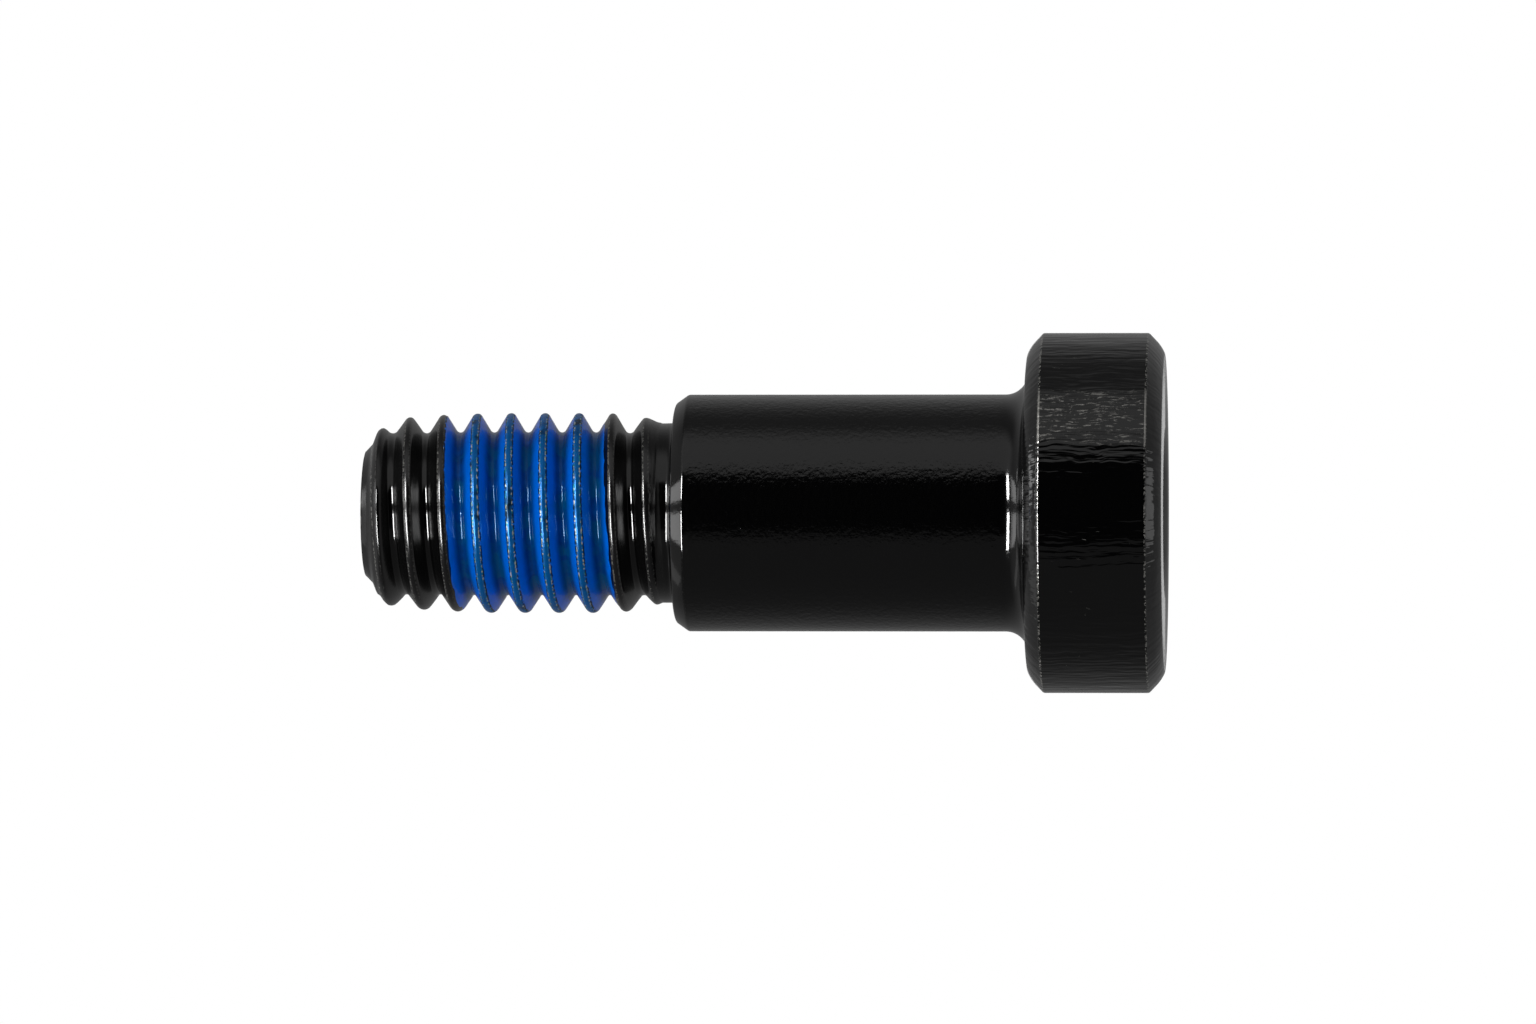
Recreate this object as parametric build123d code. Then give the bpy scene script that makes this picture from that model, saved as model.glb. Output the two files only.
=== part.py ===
"""Shoulder screw with a low cylindrical head, a plain shoulder and a rolled metric thread.

Cold-headed steel with a black finish, and a blue thread-locking coat over the
middle of the thread. Millimetres. The screw stands on its head: the origin is the
centre of the head's end face, and +Z runs along the axis to the tip of the thread.
"""
from build123d import *
from math import atan, ceil, cos, degrees, radians, tan
import os

# Head
HEAD_DIAMETER = 10.56
HEAD_HEIGHT = 4.02
CHAMFER_LENGTH = 0.46      # along the axis, at both edges of the head
CHAMFER_WIDTH = 0.60       # across the radius
UNDERHEAD_BLEND = 0.65     # radius of the blend between bearing face and shoulder

# Hexagon socket in the head
SOCKET_FLATS = 4.0
SOCKET_DEPTH = 2.4         # to where the bottom cone starts
SOCKET_MOUTH = 5.0         # diameter of the countersunk mouth
SOCKET_MOUTH_ANGLE = 120   # included angle of the countersink
SOCKET_POINT_ANGLE = 140   # included angle of the bottom cone

# Shoulder
SHOULDER_DIAMETER = 6.96
SHOULDER_LENGTH = 10.34    # bearing face of the head to the shoulder's own end face
SHOULDER_CHAMFER_LENGTH = 0.38
SHOULDER_CHAMFER_WIDTH = 0.27

# Thread, M6 coarse, right-handed
THREAD_DIAMETER = 5.83     # over the crests, inside the tolerance of a 6 mm thread
THREAD_PITCH = 1.0
THREAD_ANGLE = 60          # between the flanks
CREST_SHARE = 0.17         # crest flat in pitches
ROOT_SHARE = 0.185         # root flat in pitches
THREAD_LENGTH = 9.15       # shoulder's end face to the tip
THREAD_START_ANGLE = 209   # where the groove crosses the shoulder's end plane, in degrees

# Neck between shoulder and thread
NECK_FLARE = 0.28          # the neck flares by this much into the shoulder's end face
NECK_LENGTH = 0.43         # shoulder's end face to where the thread starts to rise
RISE_LENGTH = 0.75         # from the neck up to full crest height
GROOVE_START = 0.50        # neck to where the groove has its full depth
RUNOUT_TURNS = 0.6         # turns over which the groove climbs out of the steel
RUNOUT_ABOVE_NECK = 0.05   # where the climb ends

# Tip
TIP_DIAMETER = 3.6         # flat at the end of the thread
TIP_BREAK_LENGTH = 0.14    # the flat's broken edge, along the axis
TIP_BREAK_WIDTH = 0.47     # across the radius
TIP_CHAMFER_LENGTH = 0.43  # along the axis, from the flat to the first groove
TIP_CHAMFER_WIDTH = 0.72   # across the radius
TIP_TAPER_LENGTH = 2.3     # tip to the first full crest
TIP_CREST_LENGTH = 1.4     # tip to where the crests start to fall more steeply
TIP_CREST_DROP = 0.085     # how far below full height the crest is there

# Thread-locking coat in the groove
COAT_FROM_TIP = 2.53       # tip to the near edge of the coat
COAT_FROM_RUNOUT = 0.97    # start of the full groove to the far edge of the coat
COAT_FILL = 0.4            # how deep it lies in the groove, as a share of the thread's depth

# Cutter
OVERSHOOT = 0.10           # how far the groove cutter stands out past the crests, in pitches

# Worked out from the sizes above
head_radius = HEAD_DIAMETER / 2
shoulder_radius = SHOULDER_DIAMETER / 2
crest_radius = THREAD_DIAMETER / 2
tip_radius = TIP_DIAMETER / 2
blend_sag = UNDERHEAD_BLEND * (1 - cos(radians(45)))   # how near the blend comes to the corner
flank_slope = tan(radians(THREAD_ANGLE / 2))
root_flat = ROOT_SHARE * THREAD_PITCH
thread_depth = (1 - CREST_SHARE - ROOT_SHARE) * THREAD_PITCH / (2 * flank_slope)
root_radius = crest_radius - thread_depth
neck_radius = crest_radius - thread_depth / 2   # the rod before rolling, half way up the flanks

z_bearing = HEAD_HEIGHT
z_shoulder_end = z_bearing + SHOULDER_LENGTH
z_tip = z_shoulder_end + THREAD_LENGTH
z_neck_end = z_shoulder_end + NECK_LENGTH
z_full_crest = z_neck_end + RISE_LENGTH
z_full_groove = z_neck_end + GROOVE_START
z_coat_near = z_tip - COAT_FROM_TIP
z_coat_far = z_full_groove + COAT_FROM_RUNOUT


def disc(radius, z, height):
    """A plain cylinder on the axis, upwards from this height."""
    return Pos(0, 0, z) * Cylinder(
        radius, height, align=(Align.CENTER, Align.CENTER, Align.MIN)
    )


def turned_blank():
    """Head, shoulder, neck and thread envelope as one revolved half section."""
    head_edge = (head_radius, CHAMFER_LENGTH)
    face_edge = (head_radius - CHAMFER_WIDTH, 0)
    under_edge = (head_radius, HEAD_HEIGHT - CHAMFER_LENGTH)
    bearing_edge = (head_radius - CHAMFER_WIDTH, z_bearing)
    blend_head = (shoulder_radius + UNDERHEAD_BLEND, z_bearing)
    blend_middle = (shoulder_radius + blend_sag, z_bearing + blend_sag)
    blend_shoulder = (shoulder_radius, z_bearing + UNDERHEAD_BLEND)
    shoulder_edge = (shoulder_radius, z_shoulder_end - SHOULDER_CHAMFER_LENGTH)
    shoulder_rim = (shoulder_radius - SHOULDER_CHAMFER_WIDTH, z_shoulder_end)
    neck_root = (neck_radius + NECK_FLARE, z_shoulder_end)
    neck_top = (neck_radius, z_shoulder_end + NECK_FLARE)
    neck_end = (neck_radius, z_neck_end)
    first_crest = (crest_radius, z_full_crest)
    last_crest = (crest_radius, z_tip - TIP_TAPER_LENGTH)
    tip_crest = (crest_radius - TIP_CREST_DROP, z_tip - TIP_CREST_LENGTH)
    tip_edge = (tip_radius + TIP_CHAMFER_WIDTH, z_tip - TIP_CHAMFER_LENGTH)
    tip_break = (tip_radius + TIP_BREAK_WIDTH, z_tip - TIP_BREAK_LENGTH)
    tip_rim = (tip_radius, z_tip)

    with BuildPart() as blank:
        with BuildSketch(Plane.XZ):
            with BuildLine():
                Polyline((0, 0), face_edge, head_edge, under_edge, bearing_edge, blend_head)
                Polyline(blend_head, blend_middle, blend_shoulder, shoulder_edge, shoulder_rim)
                Polyline(shoulder_rim, neck_root, neck_top, neck_end, first_crest, last_crest)
                Polyline(last_crest, tip_crest, tip_edge, tip_break, tip_rim, (0, z_tip))
                Line((0, z_tip), (0, 0))
            make_face()
        revolve(axis=Axis.Z)
    return blank.part


def hex_socket():
    """The recess for a hexagon key: countersunk mouth, six flats, conical bottom."""
    corner_radius = SOCKET_FLATS / 2 / cos(radians(30))
    mouth_radius = SOCKET_MOUTH / 2
    mouth_depth = mouth_radius / tan(radians(SOCKET_MOUTH_ANGLE / 2))
    point_height = SOCKET_FLATS / 2 / tan(radians(SOCKET_POINT_ANGLE / 2))
    with BuildPart() as socket:
        with BuildSketch():
            RegularPolygon(corner_radius, 6)
        extrude(amount=SOCKET_DEPTH)
        with BuildSketch(Plane.XZ):
            Polygon((0, 0), (mouth_radius, 0), (0, mouth_depth), align=None)
            Polygon(
                (0, SOCKET_DEPTH),
                (SOCKET_FLATS / 2, SOCKET_DEPTH),
                (0, SOCKET_DEPTH + point_height),
                align=None,
            )
        revolve(axis=Axis.Z)
    return socket.part


def axial_section(*corners):
    """A polygon in the half section, from (radius, height) corners."""
    with BuildSketch(Plane.XZ) as section:
        Polygon(*corners, align=None)
    return section.sketch


def groove_section(z, floor_radius):
    """Axial section of the groove cutter: a flat floor between two flanks."""
    cut_depth = thread_depth + OVERSHOOT * THREAD_PITCH
    half_floor = root_flat / 2
    half_mouth = half_floor + cut_depth * flank_slope
    return axial_section(
        (floor_radius, z - half_floor),
        (floor_radius, z + half_floor),
        (floor_radius + cut_depth, z + half_mouth),
        (floor_radius + cut_depth, z - half_mouth),
    )


def coat_section(z):
    """Axial section of the coat, which has pooled in the bottom of the groove."""
    coat_height = COAT_FILL * thread_depth
    half_floor = root_flat / 2
    half_top = half_floor + coat_height * flank_slope
    return axial_section(
        (root_radius, z - half_floor),
        (root_radius, z + half_floor),
        (root_radius + coat_height, z + half_top),
        (root_radius + coat_height, z - half_top),
    )


def thread_angle_at(z):
    """Degrees about the axis at which the groove passes this height."""
    return THREAD_START_ANGLE + (z - z_shoulder_end) / THREAD_PITCH * 360


def turns_of(section, z_start, z_end):
    """A section swept through one turn of the thread and repeated from one height to the other."""
    path = Helix(THREAD_PITCH, THREAD_PITCH, root_radius, center=(0, 0, z_start))
    one_turn = Rot(0, 0, thread_angle_at(z_start)) * sweep(section, path=path, is_frenet=True)
    count = ceil((z_end - z_start) / THREAD_PITCH)
    return [Pos(0, 0, turn * THREAD_PITCH) * one_turn for turn in range(count)]


def groove_runout(z_end):
    """The start of the groove, which climbs from its full depth to above the neck."""
    length = RUNOUT_TURNS * THREAD_PITCH
    z_start = z_end - length
    start_radius = neck_radius + RUNOUT_ABOVE_NECK
    cone = -degrees(atan((start_radius - root_radius) / length))
    path = Helix(THREAD_PITCH, length, start_radius, center=(0, 0, z_start), cone_angle=cone)
    climbing = sweep(groove_section(z_start, start_radius), path=path, is_frenet=True)
    above_flare = disc(shoulder_radius, z_shoulder_end + NECK_FLARE, THREAD_LENGTH)
    return Rot(0, 0, thread_angle_at(z_start)) * climbing & above_flare


def locking_coat():
    """The coat in the groove, cut square to the axis at both ends of its band."""
    z_start = z_coat_far - THREAD_PITCH
    turns = turns_of(coat_section(z_start), z_start, z_coat_near + THREAD_PITCH)
    return turns[0].fuse(*turns[1:]) & disc(shoulder_radius, z_coat_far, z_coat_near - z_coat_far)


full_groove = turns_of(
    groove_section(z_full_groove, root_radius), z_full_groove, z_tip + THREAD_PITCH
)
screw_body = turned_blank() - hex_socket() - full_groove - groove_runout(z_full_groove)
thread_locking_coat = locking_coat()

os.makedirs("parts", exist_ok=True)
nodes = {"screw_body": screw_body, "thread_locking_coat": thread_locking_coat}
for name, shape in nodes.items():
    export_step(shape, f"parts/{name}.step")
    print(name, "solids", len(shape.solids()), "volume", round(shape.volume, 3))
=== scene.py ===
import math

import bmesh
import bpy
from mathutils import Matrix, Vector, noise


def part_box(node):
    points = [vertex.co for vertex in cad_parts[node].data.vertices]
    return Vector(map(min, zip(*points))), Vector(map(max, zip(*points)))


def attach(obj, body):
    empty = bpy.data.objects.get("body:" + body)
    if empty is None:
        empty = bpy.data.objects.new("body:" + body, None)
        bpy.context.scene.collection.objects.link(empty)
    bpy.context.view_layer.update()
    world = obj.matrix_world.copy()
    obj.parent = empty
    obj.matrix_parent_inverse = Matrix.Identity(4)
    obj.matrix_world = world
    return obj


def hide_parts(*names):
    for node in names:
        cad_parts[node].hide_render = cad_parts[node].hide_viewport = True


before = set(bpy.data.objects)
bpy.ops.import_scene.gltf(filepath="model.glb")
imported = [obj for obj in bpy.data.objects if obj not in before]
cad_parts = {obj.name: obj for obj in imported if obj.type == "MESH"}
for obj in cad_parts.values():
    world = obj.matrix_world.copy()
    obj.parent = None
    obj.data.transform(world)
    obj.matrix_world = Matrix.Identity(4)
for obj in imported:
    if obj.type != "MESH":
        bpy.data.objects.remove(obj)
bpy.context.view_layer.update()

# The steel body: a cold-headed shoulder screw in one piece. Head, shoulder and neck are turned
# about the axis; the thread is rolled on, so its groove climbs out of the steel at the neck.
# Millimetres, as on the drawing, with the screw standing on its head.
MM = 0.001
FULL_TURN = 2 * math.pi
STEPS = 192                   # columns round the axis
MERGE = 0.0005                # points closer than this are one point

high_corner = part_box("screw_body")[1]
TIP = high_corner.z / MM
HEAD_RADIUS = high_corner.x / MM

HEAD_HEIGHT = 4.02
CHAMFER_LENGTH = 0.46
CHAMFER_WIDTH = 0.60
CROWN_INWARD = 0.36           # the forged chamfers bulge: their crown, in from the side
CROWN_ALONG = 0.12            # and along from the face
CROWN_ROUND = 0.16
UNDERHEAD_FILLET = 0.65
SHOULDER_RADIUS = 3.48
SHOULDER_END = 14.36
SHOULDER_CHAMFER_LENGTH = 0.38
SHOULDER_CHAMFER_WIDTH = 0.27
SHOULDER_RIM_ROUND = 0.08
NECK_RADIUS = 2.64
NECK_FILLET = 0.16
NECK_CUT = SHOULDER_END + 0.26  # where the turned part and the rolled part meet
EDGE_ROUND = 0.045            # the broken edges of the forging
FILLET_SEGMENTS = 14
NECK_SEGMENTS = 6
ROUND_SEGMENTS = 5
EDGE_SEGMENTS = 4

SOCKET_FLAT = 2.0             # half across the flats
SOCKET_MOUTH = 2.5
SOCKET_DEPTH = 2.4
SOCKET_FOOT_ROUND = 0.04
MOUTH_SLOPE = math.tan(math.radians(30))   # of the countersunk mouth, from the end face
POINT_SLOPE = math.tan(math.radians(20))   # of the cone at the bottom


def wire_through(bm, corners):
    """A polyline of (radius, height) corners in millimetres; returns its vertices."""
    points = [bm.verts.new((radius * MM, 0, height * MM)) for radius, height in corners]
    for first, second in zip(points, points[1:]):
        bm.edges.new((first, second))
    return points


def round_corners(bm, points, reach, segments):
    """Rounds corners of a polyline over this reach, in millimetres, along both sides."""
    bmesh.ops.bevel(
        bm, geom=points, offset=reach * MM, offset_type="OFFSET", segments=segments,
        profile=0.5, affect="VERTICES", material=-1, clamp_overlap=True,
    )


def spin_about_axis(bm, rise):
    """Turns the whole wire once about the screw's axis, climbing by rise millimetres."""
    bmesh.ops.spin(
        bm, geom=bm.verts[:] + bm.edges[:], cent=(0, 0, 0), axis=(0, 0, 1),
        dvec=(0, 0, rise * MM / STEPS), angle=FULL_TURN, steps=STEPS,
        use_merge=rise == 0, use_duplicate=False,
    )
    bmesh.ops.remove_doubles(bm, verts=bm.verts[:], dist=MERGE * MM)


def rim_at(bm, height):
    """The open edges that lie at this height, in millimetres."""
    return [
        edge for edge in bm.edges
        if edge.is_boundary and all(abs(v.co.z / MM - height) < 2 * MERGE for v in edge.verts)
    ]


def draw_in(bm, rim, place):
    """Extrudes an open rim; place gives each new point from the angle of the old one."""
    made = bmesh.ops.extrude_edge_only(bm, edges=rim)["geom"]
    for item in made:
        if isinstance(item, bmesh.types.BMVert):
            angle = math.atan2(item.co.y, item.co.x)
            radius, height = place(angle)
            item.co = Vector((radius * math.cos(angle), radius * math.sin(angle), height)) * MM
    return [item for item in made if isinstance(item, bmesh.types.BMEdge) and item.is_boundary]


def turned_blank():
    """Head, shoulder and neck, from the rim of the socket's mouth up to the neck."""
    bm = bmesh.new()
    face_edge = HEAD_RADIUS - CHAMFER_WIDTH
    crown_radius = HEAD_RADIUS - CROWN_INWARD
    _, face, crown, head, under, under_crown, bearing, fillet, shoulder, rim, neck, _ = (
        wire_through(bm, [
            (SOCKET_MOUTH, 0),
            (face_edge, 0),
            (crown_radius, CROWN_ALONG),
            (HEAD_RADIUS, CHAMFER_LENGTH),
            (HEAD_RADIUS, HEAD_HEIGHT - CHAMFER_LENGTH),
            (crown_radius, HEAD_HEIGHT - CROWN_ALONG),
            (face_edge, HEAD_HEIGHT),
            (SHOULDER_RADIUS, HEAD_HEIGHT),
            (SHOULDER_RADIUS, SHOULDER_END - SHOULDER_CHAMFER_LENGTH),
            (SHOULDER_RADIUS - SHOULDER_CHAMFER_WIDTH, SHOULDER_END),
            (NECK_RADIUS, SHOULDER_END),
            (NECK_RADIUS, NECK_CUT),
        ])
    )
    round_corners(bm, [fillet], UNDERHEAD_FILLET, FILLET_SEGMENTS)
    round_corners(bm, [neck], NECK_FILLET, NECK_SEGMENTS)
    round_corners(bm, [crown, under_crown], CROWN_ROUND, ROUND_SEGMENTS)
    round_corners(bm, [rim], SHOULDER_RIM_ROUND, ROUND_SEGMENTS)
    round_corners(bm, [face, head, under, bearing, shoulder], EDGE_ROUND, EDGE_SEGMENTS)
    spin_about_axis(bm, 0)
    return bm


def sink_socket(bm):
    """Presses the hexagon socket into the open rim in the end face."""
    def hexagon(angle):
        return SOCKET_FLAT / math.cos(angle % (math.pi / 3) - math.pi / 6)

    foot = SOCKET_DEPTH - SOCKET_FOOT_ROUND
    point = SOCKET_DEPTH + SOCKET_FLAT * POINT_SLOPE
    rim = rim_at(bm, 0)
    rim = draw_in(bm, rim, lambda a: (hexagon(a), (SOCKET_MOUTH - hexagon(a)) * MOUTH_SLOPE))
    rim = draw_in(bm, rim, lambda a: (hexagon(a), foot))
    rim = draw_in(bm, rim, lambda a: (hexagon(a) - SOCKET_FOOT_ROUND, SOCKET_DEPTH))
    rim = draw_in(bm, rim, lambda a: (SOCKET_FLAT - 2 * SOCKET_FOOT_ROUND, SOCKET_DEPTH))
    draw_in(bm, rim, lambda a: (0, point))
    bmesh.ops.remove_doubles(bm, verts=bm.verts[:], dist=MERGE * MM)


# The rolled thread, M6 coarse and right-handed, is part of the same steel. Dies press the
# groove in and push the crests up, so each crest has two soft edges and a flat that stays rough.
PITCH = 1.0
CREST_RADIUS = 2.933
ROOT_RADIUS = 2.375
CREST_FLAT = 0.16
ROOT_FLAT = 0.16
CREST_ROUND = 0.078
ROOT_ROUND = 0.078
FLANK_CUTS = 5                # points along a flank
LONGEST_FLAT = 0.19           # a longer edge of the section is a flank
STEEL_TURNS = (12, 25)        # the turns that reach from the neck to the tip
ROOT_THROW = 0.024            # the rolled groove runs out of true by this much, towards -X
LEAN_FAR = 0.044              # the thread runs a little drunk: forward on the side away from +X
LEAN_FRONT = 0.02             # and on the side towards -Y
CREST_PHASE = 0.229           # a crest passes the +X side at this height, plus whole pitches
FULL_GROOVE = 15.27           # height at which the groove has its full depth
RUNOUT_TURNS = 0.6            # over this part of a turn it climbs out of the neck
ABOVE_NECK = 0.05             # how far above the neck the groove ends
TIP_RADIUS = 1.84
TIP_DISH = [(1.6, 0.0), (1.25, 0.1), (0.7, 0.17), (0.0, 0.2)]   # radius, and depth below the tip


def thread_skin(turns, crest_radius, root_radius, crest_flat, root_flat):
    """The thread's surface between two turns, swept from its section in one climbing turn."""
    bm = bmesh.new()
    corners = []
    for turn in range(*turns):
        crest = CREST_PHASE + turn * PITCH
        root = crest + PITCH / 2
        corners += [
            (crest_radius, crest - crest_flat / 2),
            (crest_radius, crest + crest_flat / 2),
            (root_radius, root - root_flat / 2),
            (root_radius, root + root_flat / 2),
        ]
    points = wire_through(bm, corners)
    middle = (crest_radius + root_radius) / 2 * MM
    crest_edges = [point for point in points if point.co.x > middle]
    root_edges = [point for point in points if point.co.x < middle]
    round_corners(bm, crest_edges, CREST_ROUND, EDGE_SEGMENTS)
    round_corners(bm, root_edges, ROOT_ROUND, ROUND_SEGMENTS)
    flanks = [edge for edge in bm.edges if edge.calc_length() > LONGEST_FLAT * MM]
    bmesh.ops.subdivide_edges(bm, edges=flanks, cuts=FLANK_CUTS)
    spin_about_axis(bm, PITCH)
    return bm


def crest_share(radius):
    """0 at the root of the thread and 1 at its crest."""
    return (radius - ROOT_RADIUS) / (CREST_RADIUS - ROOT_RADIUS)


def lean(co):
    """How far the thread runs ahead along the axis at this side, in millimetres."""
    return LEAN_FAR * (1 - co.x / co.xy.length) - LEAN_FRONT * co.y / co.xy.length


def turns_at(co):
    """How many turns up the thread a point is, counted from the crest below it."""
    angle = math.atan2(co.y, co.x) % FULL_TURN
    height = co.z / MM - lean(co) - CREST_PHASE - PITCH * angle / FULL_TURN
    return math.floor(height / PITCH + MERGE) + angle / FULL_TURN


def through(stations, height):
    """Straight lines through (height, radius) stations."""
    for (low, start), (high, end) in zip(stations, stations[1:]):
        if height < high:
            return start + (end - start) * max(height - low, 0) / (high - low)
    return stations[-1][1]


# The line over the crests, as heights and radii: it rises from the neck and falls to the tip
CREST_LINE = [
    (SHOULDER_END + 0.42, NECK_RADIUS),
    (SHOULDER_END + 0.63, 2.755),
    (SHOULDER_END + 0.93, 2.81),
    (SHOULDER_END + 1.48, 2.905),
    (SHOULDER_END + 1.90, CREST_RADIUS),
    (TIP - 3.70, CREST_RADIUS),
    (TIP - 2.28, 2.89),
    (TIP - 1.28, 2.82),
    (TIP - 0.66, 2.72),
    (TIP - 0.53, 2.64),
    (TIP - 0.36, 2.42),
    (TIP - 0.22, 2.06),
    (TIP, TIP_RADIUS),
]


def rolled_radius(radius, co):
    """The steel's radius, where groove and crests flatten out towards the neck and the tip."""
    full_turn = (FULL_GROOVE - CREST_PHASE) / PITCH - 0.5
    climb = min(max((full_turn - turns_at(co)) / RUNOUT_TURNS, 0), 1)
    floor = ROOT_RADIUS + (NECK_RADIUS + ABOVE_NECK - ROOT_RADIUS) * climb
    crests = through(CREST_LINE, co.z / MM)
    share = crest_share(radius)
    throw = ROOT_THROW * (1 - share) * (1 - climb) * co.x / co.xy.length
    return min(floor, crests) + share * max(crests - floor, 0) - throw


def roll(bm, sink=lambda co: 0):
    """Lays a thread skin on the screw; sink says how far under the steel a point goes."""
    for vert in bm.verts:
        radius = vert.co.xy.length / MM
        vert.co.z += lean(vert.co) * MM
        vert.co.xy *= (rolled_radius(radius, vert.co) - sink(vert.co)) / radius


def rolled_thread():
    """The thread from the neck to the tip, open at both ends."""
    bm = thread_skin(STEEL_TURNS, CREST_RADIUS, ROOT_RADIUS, CREST_FLAT, ROOT_FLAT)
    roll(bm)
    for height, side in ((NECK_CUT, 1), (TIP, -1)):
        bmesh.ops.bisect_plane(
            bm, geom=bm.verts[:] + bm.edges[:] + bm.faces[:], dist=MERGE / 2 * MM,
            plane_co=(0, 0, height * MM), plane_no=(0, 0, side), clear_inner=True,
        )
    for vert in bm.verts:
        vert.co.z = min(vert.co.z, TIP * MM)
    return bm


def dish_tip(bm):
    """Closes the end of the rod: a flat ring round a shallow dish."""
    rim = rim_at(bm, TIP)
    for radius, depth in TIP_DISH:
        rim = draw_in(bm, rim, lambda a, r=radius, d=depth: (r, TIP - d))
    bmesh.ops.remove_doubles(bm, verts=bm.verts[:], dist=MERGE * MM)


def mark_wear(bm):
    """Stores how sharply the steel bends outwards at each point, for the wear on its edges."""
    layer = bm.verts.layers.float.new("edge")
    for vert in bm.verts:
        bend = sum(
            edge.calc_face_angle_signed() * edge.calc_length()
            for edge in vert.link_edges if len(edge.link_faces) == 2
        )
        area = sum(face.calc_area() for face in vert.link_faces)
        vert[layer] = max(bend / area * MM, 0) if area else 0


SHARP = math.radians(38)      # two faces that meet at a larger angle than this show a crease


def finished(bm, name, material):
    """A bmesh as an object of the scene, smooth but for its sharp edges, on the screw's body."""
    for face in bm.faces:
        face.smooth = True
    for edge in bm.edges:
        edge.smooth = len(edge.link_faces) == 2 and edge.calc_face_angle() < SHARP
    mesh = bpy.data.meshes.new(name)
    bm.to_mesh(mesh)
    bm.free()
    piece = bpy.data.objects.new(name, mesh)
    bpy.context.scene.collection.objects.link(piece)
    piece.data.materials.append(material)
    normals = piece.modifiers.new("face_weighted_normals", "WEIGHTED_NORMAL")
    normals.keep_sharp = True
    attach(piece, "root")
    return piece


NEAR_CORE = 0.3               # near() is 1 within this share of its reach
MEAN = 0.5                    # the middle value of a noise


class Value:
    """An output of a shader node. Python's operators on it add the Math nodes."""

    def __init__(self, finish, socket):
        self.finish = finish
        self.socket = socket

    def math(self, operation, *others, clamp=False):
        inputs = dict(enumerate((self,) + others))
        return self.finish.node(
            "ShaderNodeMath", {"operation": operation, "use_clamp": clamp}, inputs
        )

    def __add__(self, other):
        return self.math("ADD", other)

    def __mul__(self, other):
        return self.math("MULTIPLY", other)

    def __sub__(self, other):
        return self.math("SUBTRACT", other)

    def __truediv__(self, other):
        return self.math("DIVIDE", other)

    def __pow__(self, other):
        return self.math("POWER", other)

    def __rsub__(self, other):
        return self * -1 + other

    def __abs__(self):
        return self.math("ABSOLUTE")

    __radd__ = __add__
    __rmul__ = __mul__

    def clipped(self):
        """The value kept between 0 and 1."""
        return self.math("ADD", 0, clamp=True)

    def between(self, low, high):
        """0 at low, 1 at high, and smooth between them."""
        return self.finish.node(
            "ShaderNodeMapRange", {"interpolation_type": "SMOOTHSTEP"},
            {"Value": self, "From Min": low, "From Max": high},
        )

    def near(self, middle, reach):
        """1 at the middle value, and 0 from this reach on."""
        return abs(self - middle).between(reach, reach * NEAR_CORE)

    def also(self, output):
        """Another output of the same node."""
        return Value(self.finish, self.socket.node.outputs[output])


class Finish:
    """The nodes of one procedural material, or of the world."""

    def __init__(self, owner):
        owner.use_nodes = True
        self.owner = owner
        self.nodes = owner.node_tree.nodes
        self.links = owner.node_tree.links
        self.nodes.clear()

    def node(self, kind, settings=None, inputs=None, output=0):
        """Adds a node: its settings first, then the values or links of its sockets."""
        made = self.nodes.new(kind)
        for key, setting in (settings or {}).items():
            setattr(made, key, setting)
        for key, given in (inputs or {}).items():
            if isinstance(given, Value):
                self.links.new(given.socket, made.inputs[key])
            else:
                made.inputs[key].default_value = given
        return Value(self, made.outputs[output]) if made.outputs else None

    def place(self):
        """Object coordinates in millimetres."""
        return self.vector(
            "SCALE", self.node("ShaderNodeTexCoord", output="Object"), Scale=1 / MM
        )

    def vector(self, operation, *vectors, output=0, **named):
        """Vector Math on vectors."""
        inputs = dict(enumerate(vectors), **named)
        return self.node("ShaderNodeVectorMath", {"operation": operation}, inputs, output)

    def split(self, vector):
        """The three numbers of a vector."""
        first = self.node("ShaderNodeSeparateXYZ", {}, {0: vector})
        return first, first.also(1), first.also(2)

    def noise(self, where, scale, detail=2.0, roughness=0.5):
        return self.node(
            "ShaderNodeTexNoise", {},
            {"Vector": where, "Scale": scale, "Detail": detail, "Roughness": roughness},
        )

    def mix(self, factor, first, second):
        """One colour into another."""
        return self.node(
            "ShaderNodeMix", {"data_type": "RGBA"}, {0: factor, 6: first, 7: second}, output=2
        )

    def bump(self, height):
        """Relief from a height in millimetres."""
        return self.node("ShaderNodeBump", {}, {"Strength": 1, "Distance": MM, "Height": height})

    def end(self, shader, kind="ShaderNodeOutputMaterial"):
        self.node(kind, {}, {"Surface": shader})
        return self.owner


def crest_offset(finish, place):
    """How far a point lies along the axis from the nearest crest, in millimetres."""
    x, y, z = finish.split(place)
    radius = (x * x + y * y) ** 0.5
    ahead = LEAN_FAR * (1 - x / radius) - LEAN_FRONT * y / radius
    turns = (z - ahead - CREST_PHASE) / PITCH - y.math("ARCTAN2", x) / FULL_TURN
    return ((turns + 0.5).math("FRACT") - 0.5) * PITCH


BLACK_OXIDE = (0.0012, 0.0012, 0.0013, 1)
CREST_BLACK = (0.004, 0.004, 0.0042, 1)
BARE_STEEL = (0.42, 0.41, 0.385, 1)

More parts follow.
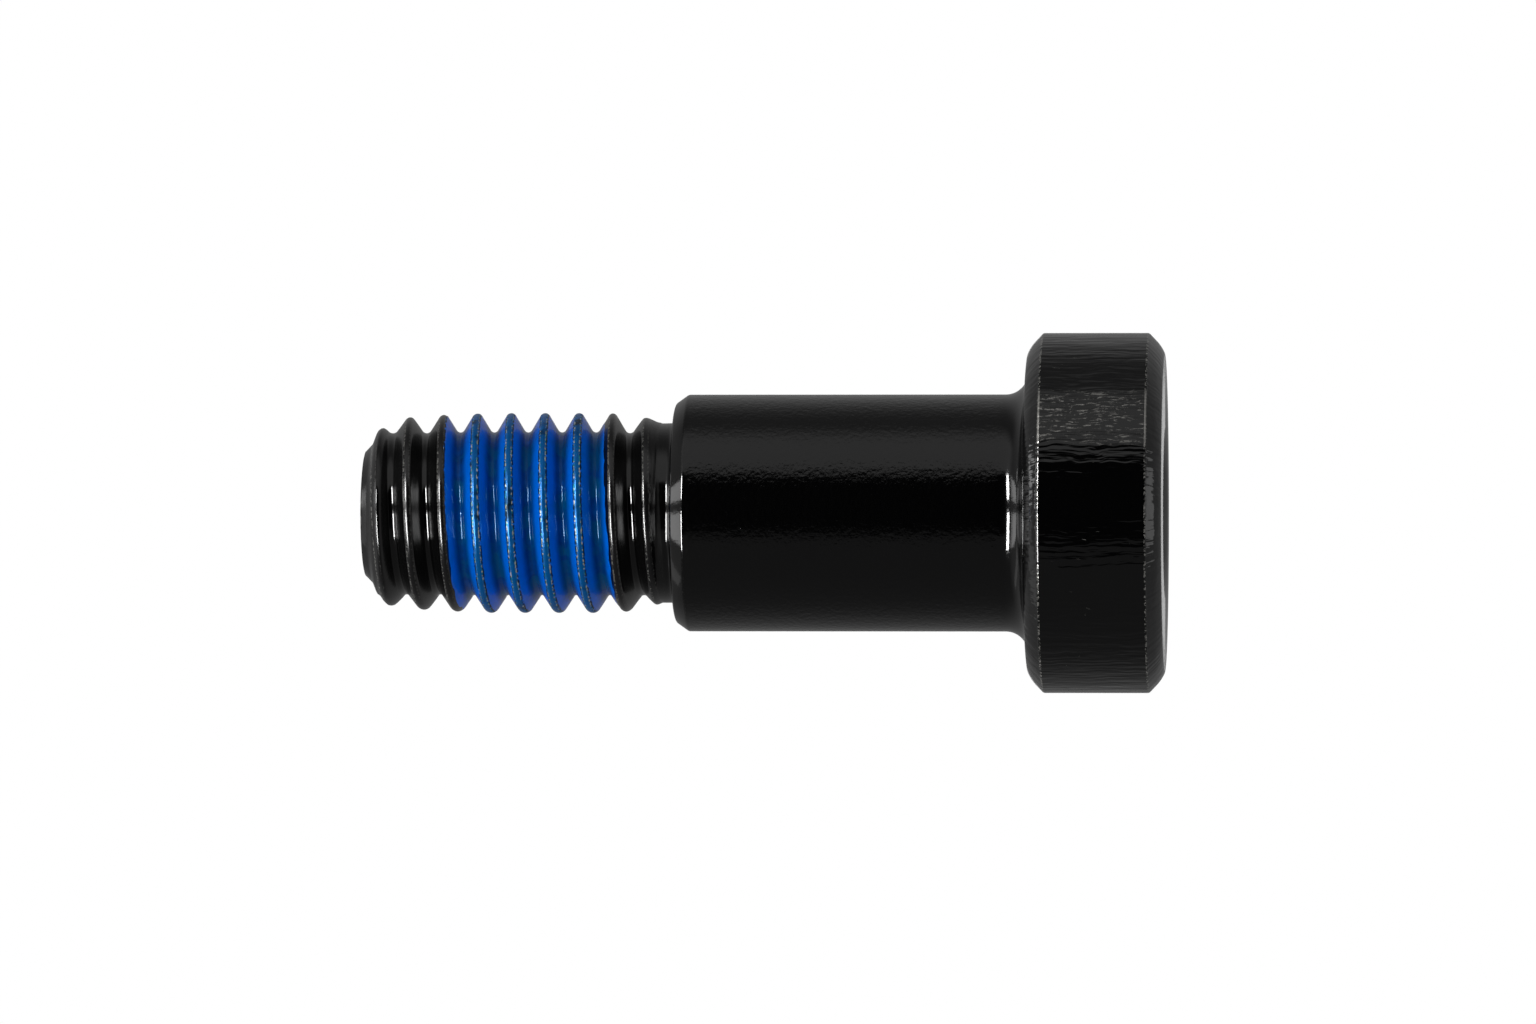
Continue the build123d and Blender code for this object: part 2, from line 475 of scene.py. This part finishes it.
# Where each finish starts and where it is full, in millimetres
HEAD_ZONE = (SHOULDER_RADIUS + 0.9, HEAD_RADIUS - CHAMFER_WIDTH + 0.15)
SIDE_ZONE = (HEAD_RADIUS - 0.06, HEAD_RADIUS - 0.03)
BARREL_START = (HEAD_HEIGHT + 0.5, HEAD_HEIGHT + 0.9)
BARREL_STOP = (13.95, 13.75)
THREAD_ZONE = (SHOULDER_END - 0.05, SHOULDER_END + 0.3)
CREST_ZONE = (CREST_FLAT * 0.62, CREST_FLAT * 0.45)   # these three from the middle of a crest
FLANK_START = (0.12, 0.18)
FLANK_STOP = (0.42, 0.36)
CREST_EDGE = 0.078
CREST_EDGE_REACH = 0.03
CREST_WANDER = 0.03

# Patterns, as a noise's scale, detail and roughness, and how far each is stretched
STREAKS = (6.5, 2.0, 0.4)
WAVES = (1.0, 2.0)
PEEL = (6.5, 3.0, 0.6)
GRAIN = (9.0, 2.0)
SPECKS = (13.0, 2.0)
DASHES = (19.0, 2.0, 0.6)
SWAY_SCALE = 0.9
SWAY_REACH = (0.35, 0.35, 0)
STREAK_STRETCH = (0, 0, 0.05)
WAVE_STRETCH = (2.4, 2.4, 0.8)
PEEL_STRETCH = (1, 1, 1.1)
GRAIN_STRETCH = (1, 1, 0.15)
DASH_STRETCH = (1, 1, 1.6)

# Relief, in millimetres
HEAD_STREAKS = 0.021
SIDE_STREAKS = 0.006          # as much more on the head's side
HEAD_WAVES = 0.024
BARREL_PEEL = 0.016
BARREL_GRAIN = 0.003
THREAD_PEEL = 0.0025
THREAD_GRAIN = 0.001

# Wear: where the head was scuffed, how sharp an edge wears, and which part of a noise is rubbed
SCUFF_ANGLE = math.radians(-58)   # round the axis from +X
SCUFF_SIZE = (math.cos(math.radians(11)), math.cos(math.radians(7)))
SCUFF_RAGGED = 0.015
WEARING_BEND = (3.2, 5.0)
EDGE_SPECKS = (0.49, 0.58)
CREST_SPECKS = (0.47, 0.58)
SCRATCHES = (0.53, 0.68)
SCRATCHED_PATCHES = (0.38, 0.56)
STRAY_SCRATCHES = (0.72, 0.78)
STRAY_PATCHES = (0.5, 0.6)
# the crest edge away from the tip keeps a quarter of the bare steel; the extra on the edge
# towards the tip is a painted highlight where the key lamp falls
DIM_SIDE_EDGE_SHARE = 0.25
CREST_WEAR = 0.35
EDGE_BARE = 0.9
SCRATCH_BARE = 0.5
STRAY_BARE = 0.4
BARE_METAL = 0.6

# Roughness of the oiled finish, and what each kind of surface adds to it
OILED = 0.09
CREST_DULL = 0.12
FLANK_DULL = 0.13
SCUFF_DULL = 0.18
WORN_DULL = 0.10
PEEL_DULL = 0.05


def black_steel():
    """Black oxide, oiled: a thin dark glossy film, rubbed off the edges down to bare steel; the
    crest edges towards the tip carry extra bare steel as a painted highlight.
    """
    finish = Finish(bpy.data.materials.new("black_steel"))
    place = finish.place()
    z = finish.split(place)[2]
    flat_place = finish.vector("MULTIPLY", place, (1, 1, 0))
    radius = finish.vector("LENGTH", flat_place, output="Value")
    on_head = radius.between(*HEAD_ZONE)
    on_side = radius.between(*SIDE_ZONE)
    on_thread = z.between(*THREAD_ZONE)

    spoke = finish.vector("NORMALIZE", flat_place)
    sway = finish.vector("MULTIPLY", finish.noise(place, SWAY_SCALE).also("Color"), SWAY_REACH)
    along_axis = finish.vector(
        "MULTIPLY_ADD", place, STREAK_STRETCH,
        finish.vector("ADD", finish.vector("SCALE", spoke, Scale=HEAD_RADIUS), sway),
    )
    streaks = finish.noise(along_axis, *STREAKS)
    waves = finish.noise(finish.vector("MULTIPLY", place, WAVE_STRETCH), *WAVES)
    peel = finish.noise(finish.vector("MULTIPLY", place, PEEL_STRETCH), *PEEL)
    grain = finish.noise(finish.vector("MULTIPLY", place, GRAIN_STRETCH), *GRAIN)
    on_barrel = z.between(*BARREL_START) * z.between(*BARREL_STOP)
    relief = (
        on_head * (streaks * (HEAD_STREAKS + on_side * SIDE_STREAKS) + waves * HEAD_WAVES)
        + on_barrel * (peel * BARREL_PEEL + grain * BARREL_GRAIN)
        + (1 - on_head) * (1 - on_barrel) * (peel * THREAD_PEEL + grain * THREAD_GRAIN)
    )

    speck = finish.noise(place, *SPECKS)
    edge = finish.node("ShaderNodeAttribute", {"attribute_name": "edge"}, output="Fac")
    scuff_way = (math.cos(SCUFF_ANGLE), math.sin(SCUFF_ANGLE), 0)
    facing = finish.vector("DOT_PRODUCT", spoke, scuff_way, output="Value")
    scuffed = (facing + (waves - MEAN) * SCUFF_RAGGED).between(*SCUFF_SIZE) * on_side
    dashes = finish.noise(finish.vector("MULTIPLY", along_axis, DASH_STRETCH), *DASHES)
    scratches = dashes.between(*SCRATCHES) * scuffed * peel.between(*SCRATCHED_PATCHES)
    stray = dashes.between(*STRAY_SCRATCHES) * waves.between(*STRAY_PATCHES) * on_side

    offset = crest_offset(finish, place) + (peel - MEAN) * CREST_WANDER
    crest = abs(offset).between(*CREST_ZONE) * on_thread
    flank = abs(offset).between(*FLANK_START) * abs(offset).between(*FLANK_STOP) * on_thread
    # Bare steel on both edges of a crest is wear; the edge towards the tip gets four times the
    # other's, a painted highlight on the side the key lamp lights.
    lit_edge_wear_and_highlight = offset.near(CREST_EDGE, CREST_EDGE_REACH)
    dim_side_edge_wear = offset.near(-CREST_EDGE, CREST_EDGE_REACH)
    crest_edge_wear_and_highlight = (lit_edge_wear_and_highlight + dim_side_edge_wear * DIM_SIDE_EDGE_SHARE) * on_thread
    edge_cover = (speck.between(*EDGE_SPECKS) + scuffed).clipped()
    worn_edge_and_highlight = (
        edge.between(*WEARING_BEND) * (1 - on_thread) * edge_cover
        + crest_edge_wear_and_highlight * speck.between(*CREST_SPECKS) * CREST_WEAR
    )
    bare_and_highlight = (worn_edge_and_highlight * EDGE_BARE + scratches * SCRATCH_BARE + stray * STRAY_BARE).clipped()
    colour = finish.mix(crest, BLACK_OXIDE, CREST_BLACK)
    colour = finish.mix(bare_and_highlight, colour, BARE_STEEL)
    rough = (
        OILED + crest * CREST_DULL + flank * FLANK_DULL + scuffed * SCUFF_DULL
        + worn_edge_and_highlight * WORN_DULL + (peel - MEAN) * PEEL_DULL
    )
    shader = finish.node(
        "ShaderNodeBsdfPrincipled", {},
        {
            "Base Color": colour,
            "Roughness": rough,
            "Metallic": bare_and_highlight * BARE_METAL,
            "Normal": finish.bump(relief),
        },
    )
    return finish.end(shader)


screw = turned_blank()
sink_socket(screw)
thread = rolled_thread()
dish_tip(thread)
thread_mesh = bpy.data.meshes.new("thread_for_joining")
thread.to_mesh(thread_mesh)
thread.free()
screw.from_mesh(thread_mesh)
bpy.data.meshes.remove(thread_mesh)
bmesh.ops.bridge_loops(screw, edges=rim_at(screw, NECK_CUT))
bmesh.ops.recalc_face_normals(screw, faces=screw.faces[:])
mark_wear(screw)
steel = finished(screw, "screw_steel", black_steel())
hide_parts("screw_body")

# The thread-locking coat: a blue resin laid over the middle of the thread and dried there. It
# has pooled in the groove, lies thin on the flanks and is rubbed through along the crests.
COAT_TURNS = (14, 23)         # the turns that reach past both ends of the coat
COAT_ROOT = 0.02              # its thickness at the root
COAT_FLANK = 0.02             # how much wider it makes a crest, and narrower a root
COAT_CREST = 0.006            # its thickness on the crests
COAT_WALL = 0.03              # how far the shell reaches into the steel
COAT_LOW = 16.235
COAT_HIGH = 20.935
COAT_SWAY = 0.25              # how far both ends follow the thread round the axis
COAT_RAGGED = 0.05            # how far the ends wander
RAGGED_SCALE = 6
COAT_FEATHER = 0.07           # over this length the coat thins out to nothing

COAT_BLUE = (0.0, 0.15, 0.78, 1)
# the resin pooled in the groove root, darkened further by painted shade
COAT_POOL_SHADE = (0.0, 0.04, 0.18, 1)
# a painted reflection of the soft box overhead, laid in the groove root
COAT_TEAL_REFLECTION = (0.0, 0.085, 0.26, 1)
COAT_THIN = (0.0, 0.10, 0.34, 1)
COAT_GONE = (0.001, 0.008, 0.014, 1)
COAT_GLINT = (0.3, 0.55, 0.85, 1)
RUBBED_CREAM = (0.62, 0.61, 0.52, 1)
RUBBED_TEAL = (0.02, 0.33, 0.42, 1)

# Lines on the coat, in millimetres from the middle of a crest, and how far they wander
STRIP_EDGE = (0.112, 0.086)   # the thin strip on the crest starts here, and is full
STRIP_WANDER = 0.05
BROKEN_LINE = (0.09, 0.06)    # where the gloss is broken up: its middle and reach
RUBBED_LINE = (0.082, 0.024)  # where the steel is rubbed bare
RUBBED_WANDER = 0.03
GAP_LINE = (0.112, 0.028)     # where the coat has come away along the strip
POOL_SHADE_EDGE = (0.22, 0.40)      # from the flank to the darker pool in the groove: pooled resin and painted shade

# Patterns, as a noise's scale, detail and roughness
RAGS = (8.0, 2.0, 0.6)
CLOUDS = (1.6, 3.0)
FINE_SPECKS = (12.0, 1.0)
CHIPS = (10.0, 1.0)
CHIPS_SHIFT = (7, 3, 5)
RIPPLES = (5.0, 2.0)
RIPPLE_STRETCH = (1, 1, 0.6)
RIPPLE_RELIEF = 0.008         # millimetres

# Which part of a pattern is covered
BROKEN_SPECKS = (0.54, 0.42)
RUBBED_SPECKS = (0.49, 0.57)
# where the painted teal reflection of the soft box shows in the groove root
GAP_CHIPS = (0.36, 0.44)
REFLECTION_CLOUDS = (0.44, 0.60)
GONE_CLOUDS = (0.54, 0.72)
TEAL_CHIPS = (0.45, 0.6)
# how far painted shade darkens the pooled resin towards the groove root
POOL_SHADE_DARK = 0.9

RESIN_IOR = 1.38
RESIN_ROUGHNESS = 0.11
STRIP_DULL = 0.12
BROKEN_DULL = 0.45
STRIP_METAL = 0.15
RUBBED_METAL = 0.4


def inside_coat(co):
    """How far a point is inside the coat's band, along the axis in millimetres."""
    angle = math.atan2(co.y, co.x)
    sway = COAT_SWAY * (1 - 2 * abs(angle) / math.pi)
    spot = Vector((math.cos(angle), math.sin(angle), co.z)) * RAGGED_SCALE
    height = co.z / MM - sway - COAT_RAGGED * noise.noise(spot)
    return min(height - COAT_LOW, COAT_HIGH - height)


def blue_resin():
    """Glossy blue resin, thin and dark along the crests, with the steel bare at their edges,
    painted shade in the pooled groove root and a painted teal reflection there.
    """
    finish = Finish(bpy.data.materials.new("blue_coat"))
    place = finish.place()
    offset = abs(crest_offset(finish, place))
    ragged = finish.noise(place, *RAGS) - MEAN
    cloud = finish.noise(place, *CLOUDS)
    speck = finish.noise(place, *FINE_SPECKS)
    chip = finish.noise(finish.vector("ADD", place, CHIPS_SHIFT), *CHIPS)

    strip = (offset + ragged * STRIP_WANDER).between(*STRIP_EDGE)
    broken = offset.near(*BROKEN_LINE) * speck.between(*BROKEN_SPECKS)
    rubbed = (offset + ragged * RUBBED_WANDER).near(*RUBBED_LINE) * speck.between(*RUBBED_SPECKS)
    gap = (offset + ragged * STRIP_WANDER).near(*GAP_LINE) * chip.between(*GAP_CHIPS)

    # Painted shade: the resin pooled in the groove root is darkened, and noise clouds there take
    # a painted teal reflection of the overhead soft box.
    pool_shade = (offset.between(*POOL_SHADE_EDGE) * POOL_SHADE_DARK + (cloud - MEAN)).clipped()
    pool_shade_and_reflection = finish.mix(cloud.between(*REFLECTION_CLOUDS), COAT_POOL_SHADE, COAT_TEAL_REFLECTION)
    blue = finish.mix(pool_shade, COAT_BLUE, pool_shade_and_reflection)
    thin = finish.mix(cloud.between(*GONE_CLOUDS), COAT_THIN, COAT_GONE)
    colour = finish.mix(strip, blue, thin)
    colour = finish.mix(gap, colour, COAT_GONE)
    metal = finish.mix(chip.between(*TEAL_CHIPS), RUBBED_CREAM, RUBBED_TEAL)
    colour = finish.mix(rubbed, colour, metal)
    ripples = finish.noise(finish.vector("MULTIPLY", place, RIPPLE_STRETCH), *RIPPLES)
    shader = finish.node(
        "ShaderNodeBsdfPrincipled", {},
        {
            "Base Color": colour,
            "Roughness": RESIN_ROUGHNESS + strip * STRIP_DULL + broken * BROKEN_DULL,
            "Metallic": (strip * STRIP_METAL + rubbed * RUBBED_METAL).clipped(),
            "IOR": RESIN_IOR,
            "Specular Tint": COAT_GLINT,
            "Normal": finish.bump(ripples * RIPPLE_RELIEF),
        },
    )
    return finish.end(shader)


coat = thread_skin(
    COAT_TURNS, CREST_RADIUS + COAT_CREST, ROOT_RADIUS + COAT_ROOT,
    CREST_FLAT + COAT_FLANK, ROOT_FLAT - COAT_FLANK,
)
roll(coat, lambda co: COAT_WALL * (1 - min(max(inside_coat(co) / COAT_FEATHER, 0), 1)))
outside = [vert for vert in coat.verts if inside_coat(vert.co) < -COAT_FEATHER]
bmesh.ops.delete(coat, geom=outside, context="VERTS")
bmesh.ops.recalc_face_normals(coat, faces=coat.faces[:])
bmesh.ops.solidify(coat, geom=coat.faces[:], thickness=COAT_WALL * MM)
blue_coat = finished(coat, "blue_coat", blue_resin())
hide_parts("thread_locking_coat")

# The studio's floor: pale paper under the screw's head, seen only from above.
FLOOR_SIZE = 0.6              # metres
FLOOR_GAP = 0.02 * MM         # between the floor and the head
PAPER = (0.9, 0.9, 0.9, 1)

ground = bmesh.new()
bmesh.ops.create_grid(ground, x_segments=1, y_segments=1, size=FLOOR_SIZE / 2)
bmesh.ops.translate(ground, verts=ground.verts[:], vec=(0, 0, -FLOOR_GAP))
floor_mesh = bpy.data.meshes.new("floor")
ground.to_mesh(floor_mesh)
ground.free()
floor = bpy.data.objects.new("floor", floor_mesh)
bpy.context.scene.collection.objects.link(floor)
paper = Finish(bpy.data.materials.new("floor_paper"))
paper_shader = paper.node(
    "ShaderNodeMixShader", {},
    {
        0: paper.node("ShaderNodeNewGeometry", output="Backfacing"),
        1: paper.node("ShaderNodeBsdfDiffuse", {}, {"Color": PAPER}),
        2: paper.node("ShaderNodeBsdfTransparent"),
    },
)
floor.data.materials.append(paper.end(paper_shader))
for kind in ("diffuse", "glossy", "transmission", "shadow"):
    setattr(floor, "visible_" + kind, False)

# The camera looks at the screw's side, with the head to the right, from a little towards the
# head, and it is turned so that the screw lies across the picture.
FRAME_WIDTH = 1536
FOCAL_PIXELS = 10300
CAMERA_DISTANCE = 302.7
CAMERA_YAW = math.radians(3.65)
MIDDLE = 11.665               # height of the picture's centre on the axis
AIM = 0.03                    # and how far it lies off the axis, towards +X
SENSOR_WIDTH = 36
NEAREST = 0.01                # the camera's range, in metres
FARTHEST = 10

look = Vector((0, math.cos(CAMERA_YAW), math.sin(CAMERA_YAW)))
up = Vector((1, 0, 0))
right = look.cross(up)
eye = bpy.data.cameras.new("camera")
eye.sensor_width = SENSOR_WIDTH
eye.lens = FOCAL_PIXELS / FRAME_WIDTH * SENSOR_WIDTH
eye.clip_start = NEAREST
eye.clip_end = FARTHEST
camera = bpy.data.objects.new("camera", eye)
camera.matrix_world = Matrix.Translation(
    (Vector((AIM, 0, MIDDLE)) - look * CAMERA_DISTANCE) * MM
) @ Matrix((right, up, -look)).transposed().to_4x4()
bpy.context.scene.collection.objects.link(camera)
bpy.context.scene.camera = camera

# The lamps: strips of light on three upright walls, one in front of the screw to the left, one
# at its left and one at its right. A place on a wall is given in wall distances, across it and
# upwards.
WALL_DISTANCE = 300 * MM
FRONT_WALL = math.radians(20)      # from the camera, towards the tip
LEFT_WALL = math.radians(104)
RIGHT_WALL = math.radians(-80)


def panel(name, wall, across, upwards, radiance, seen_in=("diffuse", "glossy"), reach=1):
    """A flat lamp on a wall that faces the screw, or at a share of the way to it."""
    distance = WALL_DISTANCE * reach
    outwards = -look * math.cos(wall) - right * math.sin(wall)
    sidewards = up.cross(outwards)
    width = (across[1] - across[0]) * distance
    height = (upwards[1] - upwards[0]) * distance
    light = bpy.data.lights.new(name, "AREA")
    light.shape = "RECTANGLE"
    light.size = width
    light.size_y = height
    light.energy = radiance * math.pi * width * height
    lamp = bpy.data.objects.new(name, light)
    place = Vector((0, 0, MIDDLE)) * MM + distance * (
        outwards - sidewards * sum(across) / 2 + up * sum(upwards) / 2
    )
    lamp.matrix_world = Matrix.Translation(place) @ Matrix(
        (sidewards, up, outwards)
    ).transposed().to_4x4()
    bpy.context.scene.collection.objects.link(lamp)
    lamp.visible_camera = False
    lamp.visible_diffuse = "diffuse" in seen_in
    lamp.visible_glossy = "glossy" in seen_in


UPPER_ROW = (0.24, 0.70)
LOWER_ROW = (-0.69, 0.0)
KEY_ACROSS = (0.29, 0.53)
CORE_REACH = 0.98             # the bright core hangs just in front of the key
for row, upwards in (("upper", UPPER_ROW), ("lower", LOWER_ROW)):
    panel("key_" + row, FRONT_WALL, KEY_ACROSS, upwards, radiance=6)
    panel(
        "key_core_" + row, FRONT_WALL, KEY_ACROSS, upwards, radiance=50,
        seen_in=("glossy",), reach=CORE_REACH,
    )
    panel("strip_" + row, FRONT_WALL, across=(0.84, 1.0), upwards=upwards, radiance=2.5)
    panel("side_" + row, FRONT_WALL, across=(1.07, 3.0), upwards=upwards, radiance=3)
panel("left_upper", LEFT_WALL, across=(-0.07, 0.07), upwards=(0.07, 0.31), radiance=2.6)
panel("left_lower", LEFT_WALL, across=(-0.12, 0.12), upwards=(-0.8, 0.07), radiance=0.4)
panel("right_box", RIGHT_WALL, across=(-0.21, 0.09), upwards=(-0.18, 0.27), radiance=1.1)
panel(
    "right_fill", RIGHT_WALL, across=(-0.6, 0.6), upwards=(-0.6, 0.6), radiance=0.1,
    seen_in=("diffuse",),
)

# The world is plain white to the camera. The screw's gloss sees a dark studio with a soft box
# overhead, a faint floor, paler ends, and the white card that stands straight behind the screw.
AMBIENT = 0.34                # what matt surfaces see on all sides
ENDS_LEVEL = 0.3              # towards the ends of the screw's axis
ENDS_START = (0.85, 0.60)     # there the ring round the axis gives way to the ends
HORIZON = (-0.01, 0.01)
CARD_HALF_ANGLE = math.radians(5)
CARD_CORE = 0.8               # the share of the card inside its soft rim
# Steps of brightness round the axis: from and to degrees from the camera, and the change
OVERHEAD = [(37, 43, 0.55), (72, 96, -0.40), (105, 140, 0.15), (150, 175, -0.08)]
UNDERNEATH = [(20, 22.5, 0.13), (95, 140, 0.07)]

studio = Finish(bpy.data.worlds.new("studio"))
bpy.context.scene.world = studio.owner
way = studio.node("ShaderNodeTexCoord", output="Generated")
upward, away, endward = studio.split(way)
round_axis = abs(upward).math("ARCTAN2", away * -1)      # from the camera, in radians


def ring_level(steps):
    """The brightness of a ring round the axis."""
    return sum(
        round_axis.between(math.radians(low), math.radians(high)) * change
        for low, high, change in steps
    )


above = upward.between(*HORIZON)
middle_only = abs(endward).between(*ENDS_START)
card = studio.vector("DOT_PRODUCT", way, look, output="Value").between(
    math.cos(CARD_HALF_ANGLE), math.cos(CARD_HALF_ANGLE * CARD_CORE)
)
ring = above * ring_level(OVERHEAD) + (1 - above) * ring_level(UNDERNEATH)
gloss_level = (ring * middle_only + (1 - middle_only) * ENDS_LEVEL + card).clipped()
ray = studio.node("ShaderNodeLightPath", output="Is Camera Ray")
reflected = (ray.also("Is Glossy Ray") + ray.also("Is Transmission Ray")).clipped()
level = ray + (1 - ray) * (reflected * gloss_level + (1 - reflected) * AMBIENT)
sky = studio.node("ShaderNodeBackground", {}, {"Color": (1, 1, 1, 1), "Strength": level})
studio.end(sky, "ShaderNodeOutputWorld")

bpy.context.scene.view_settings.view_transform = "Standard"
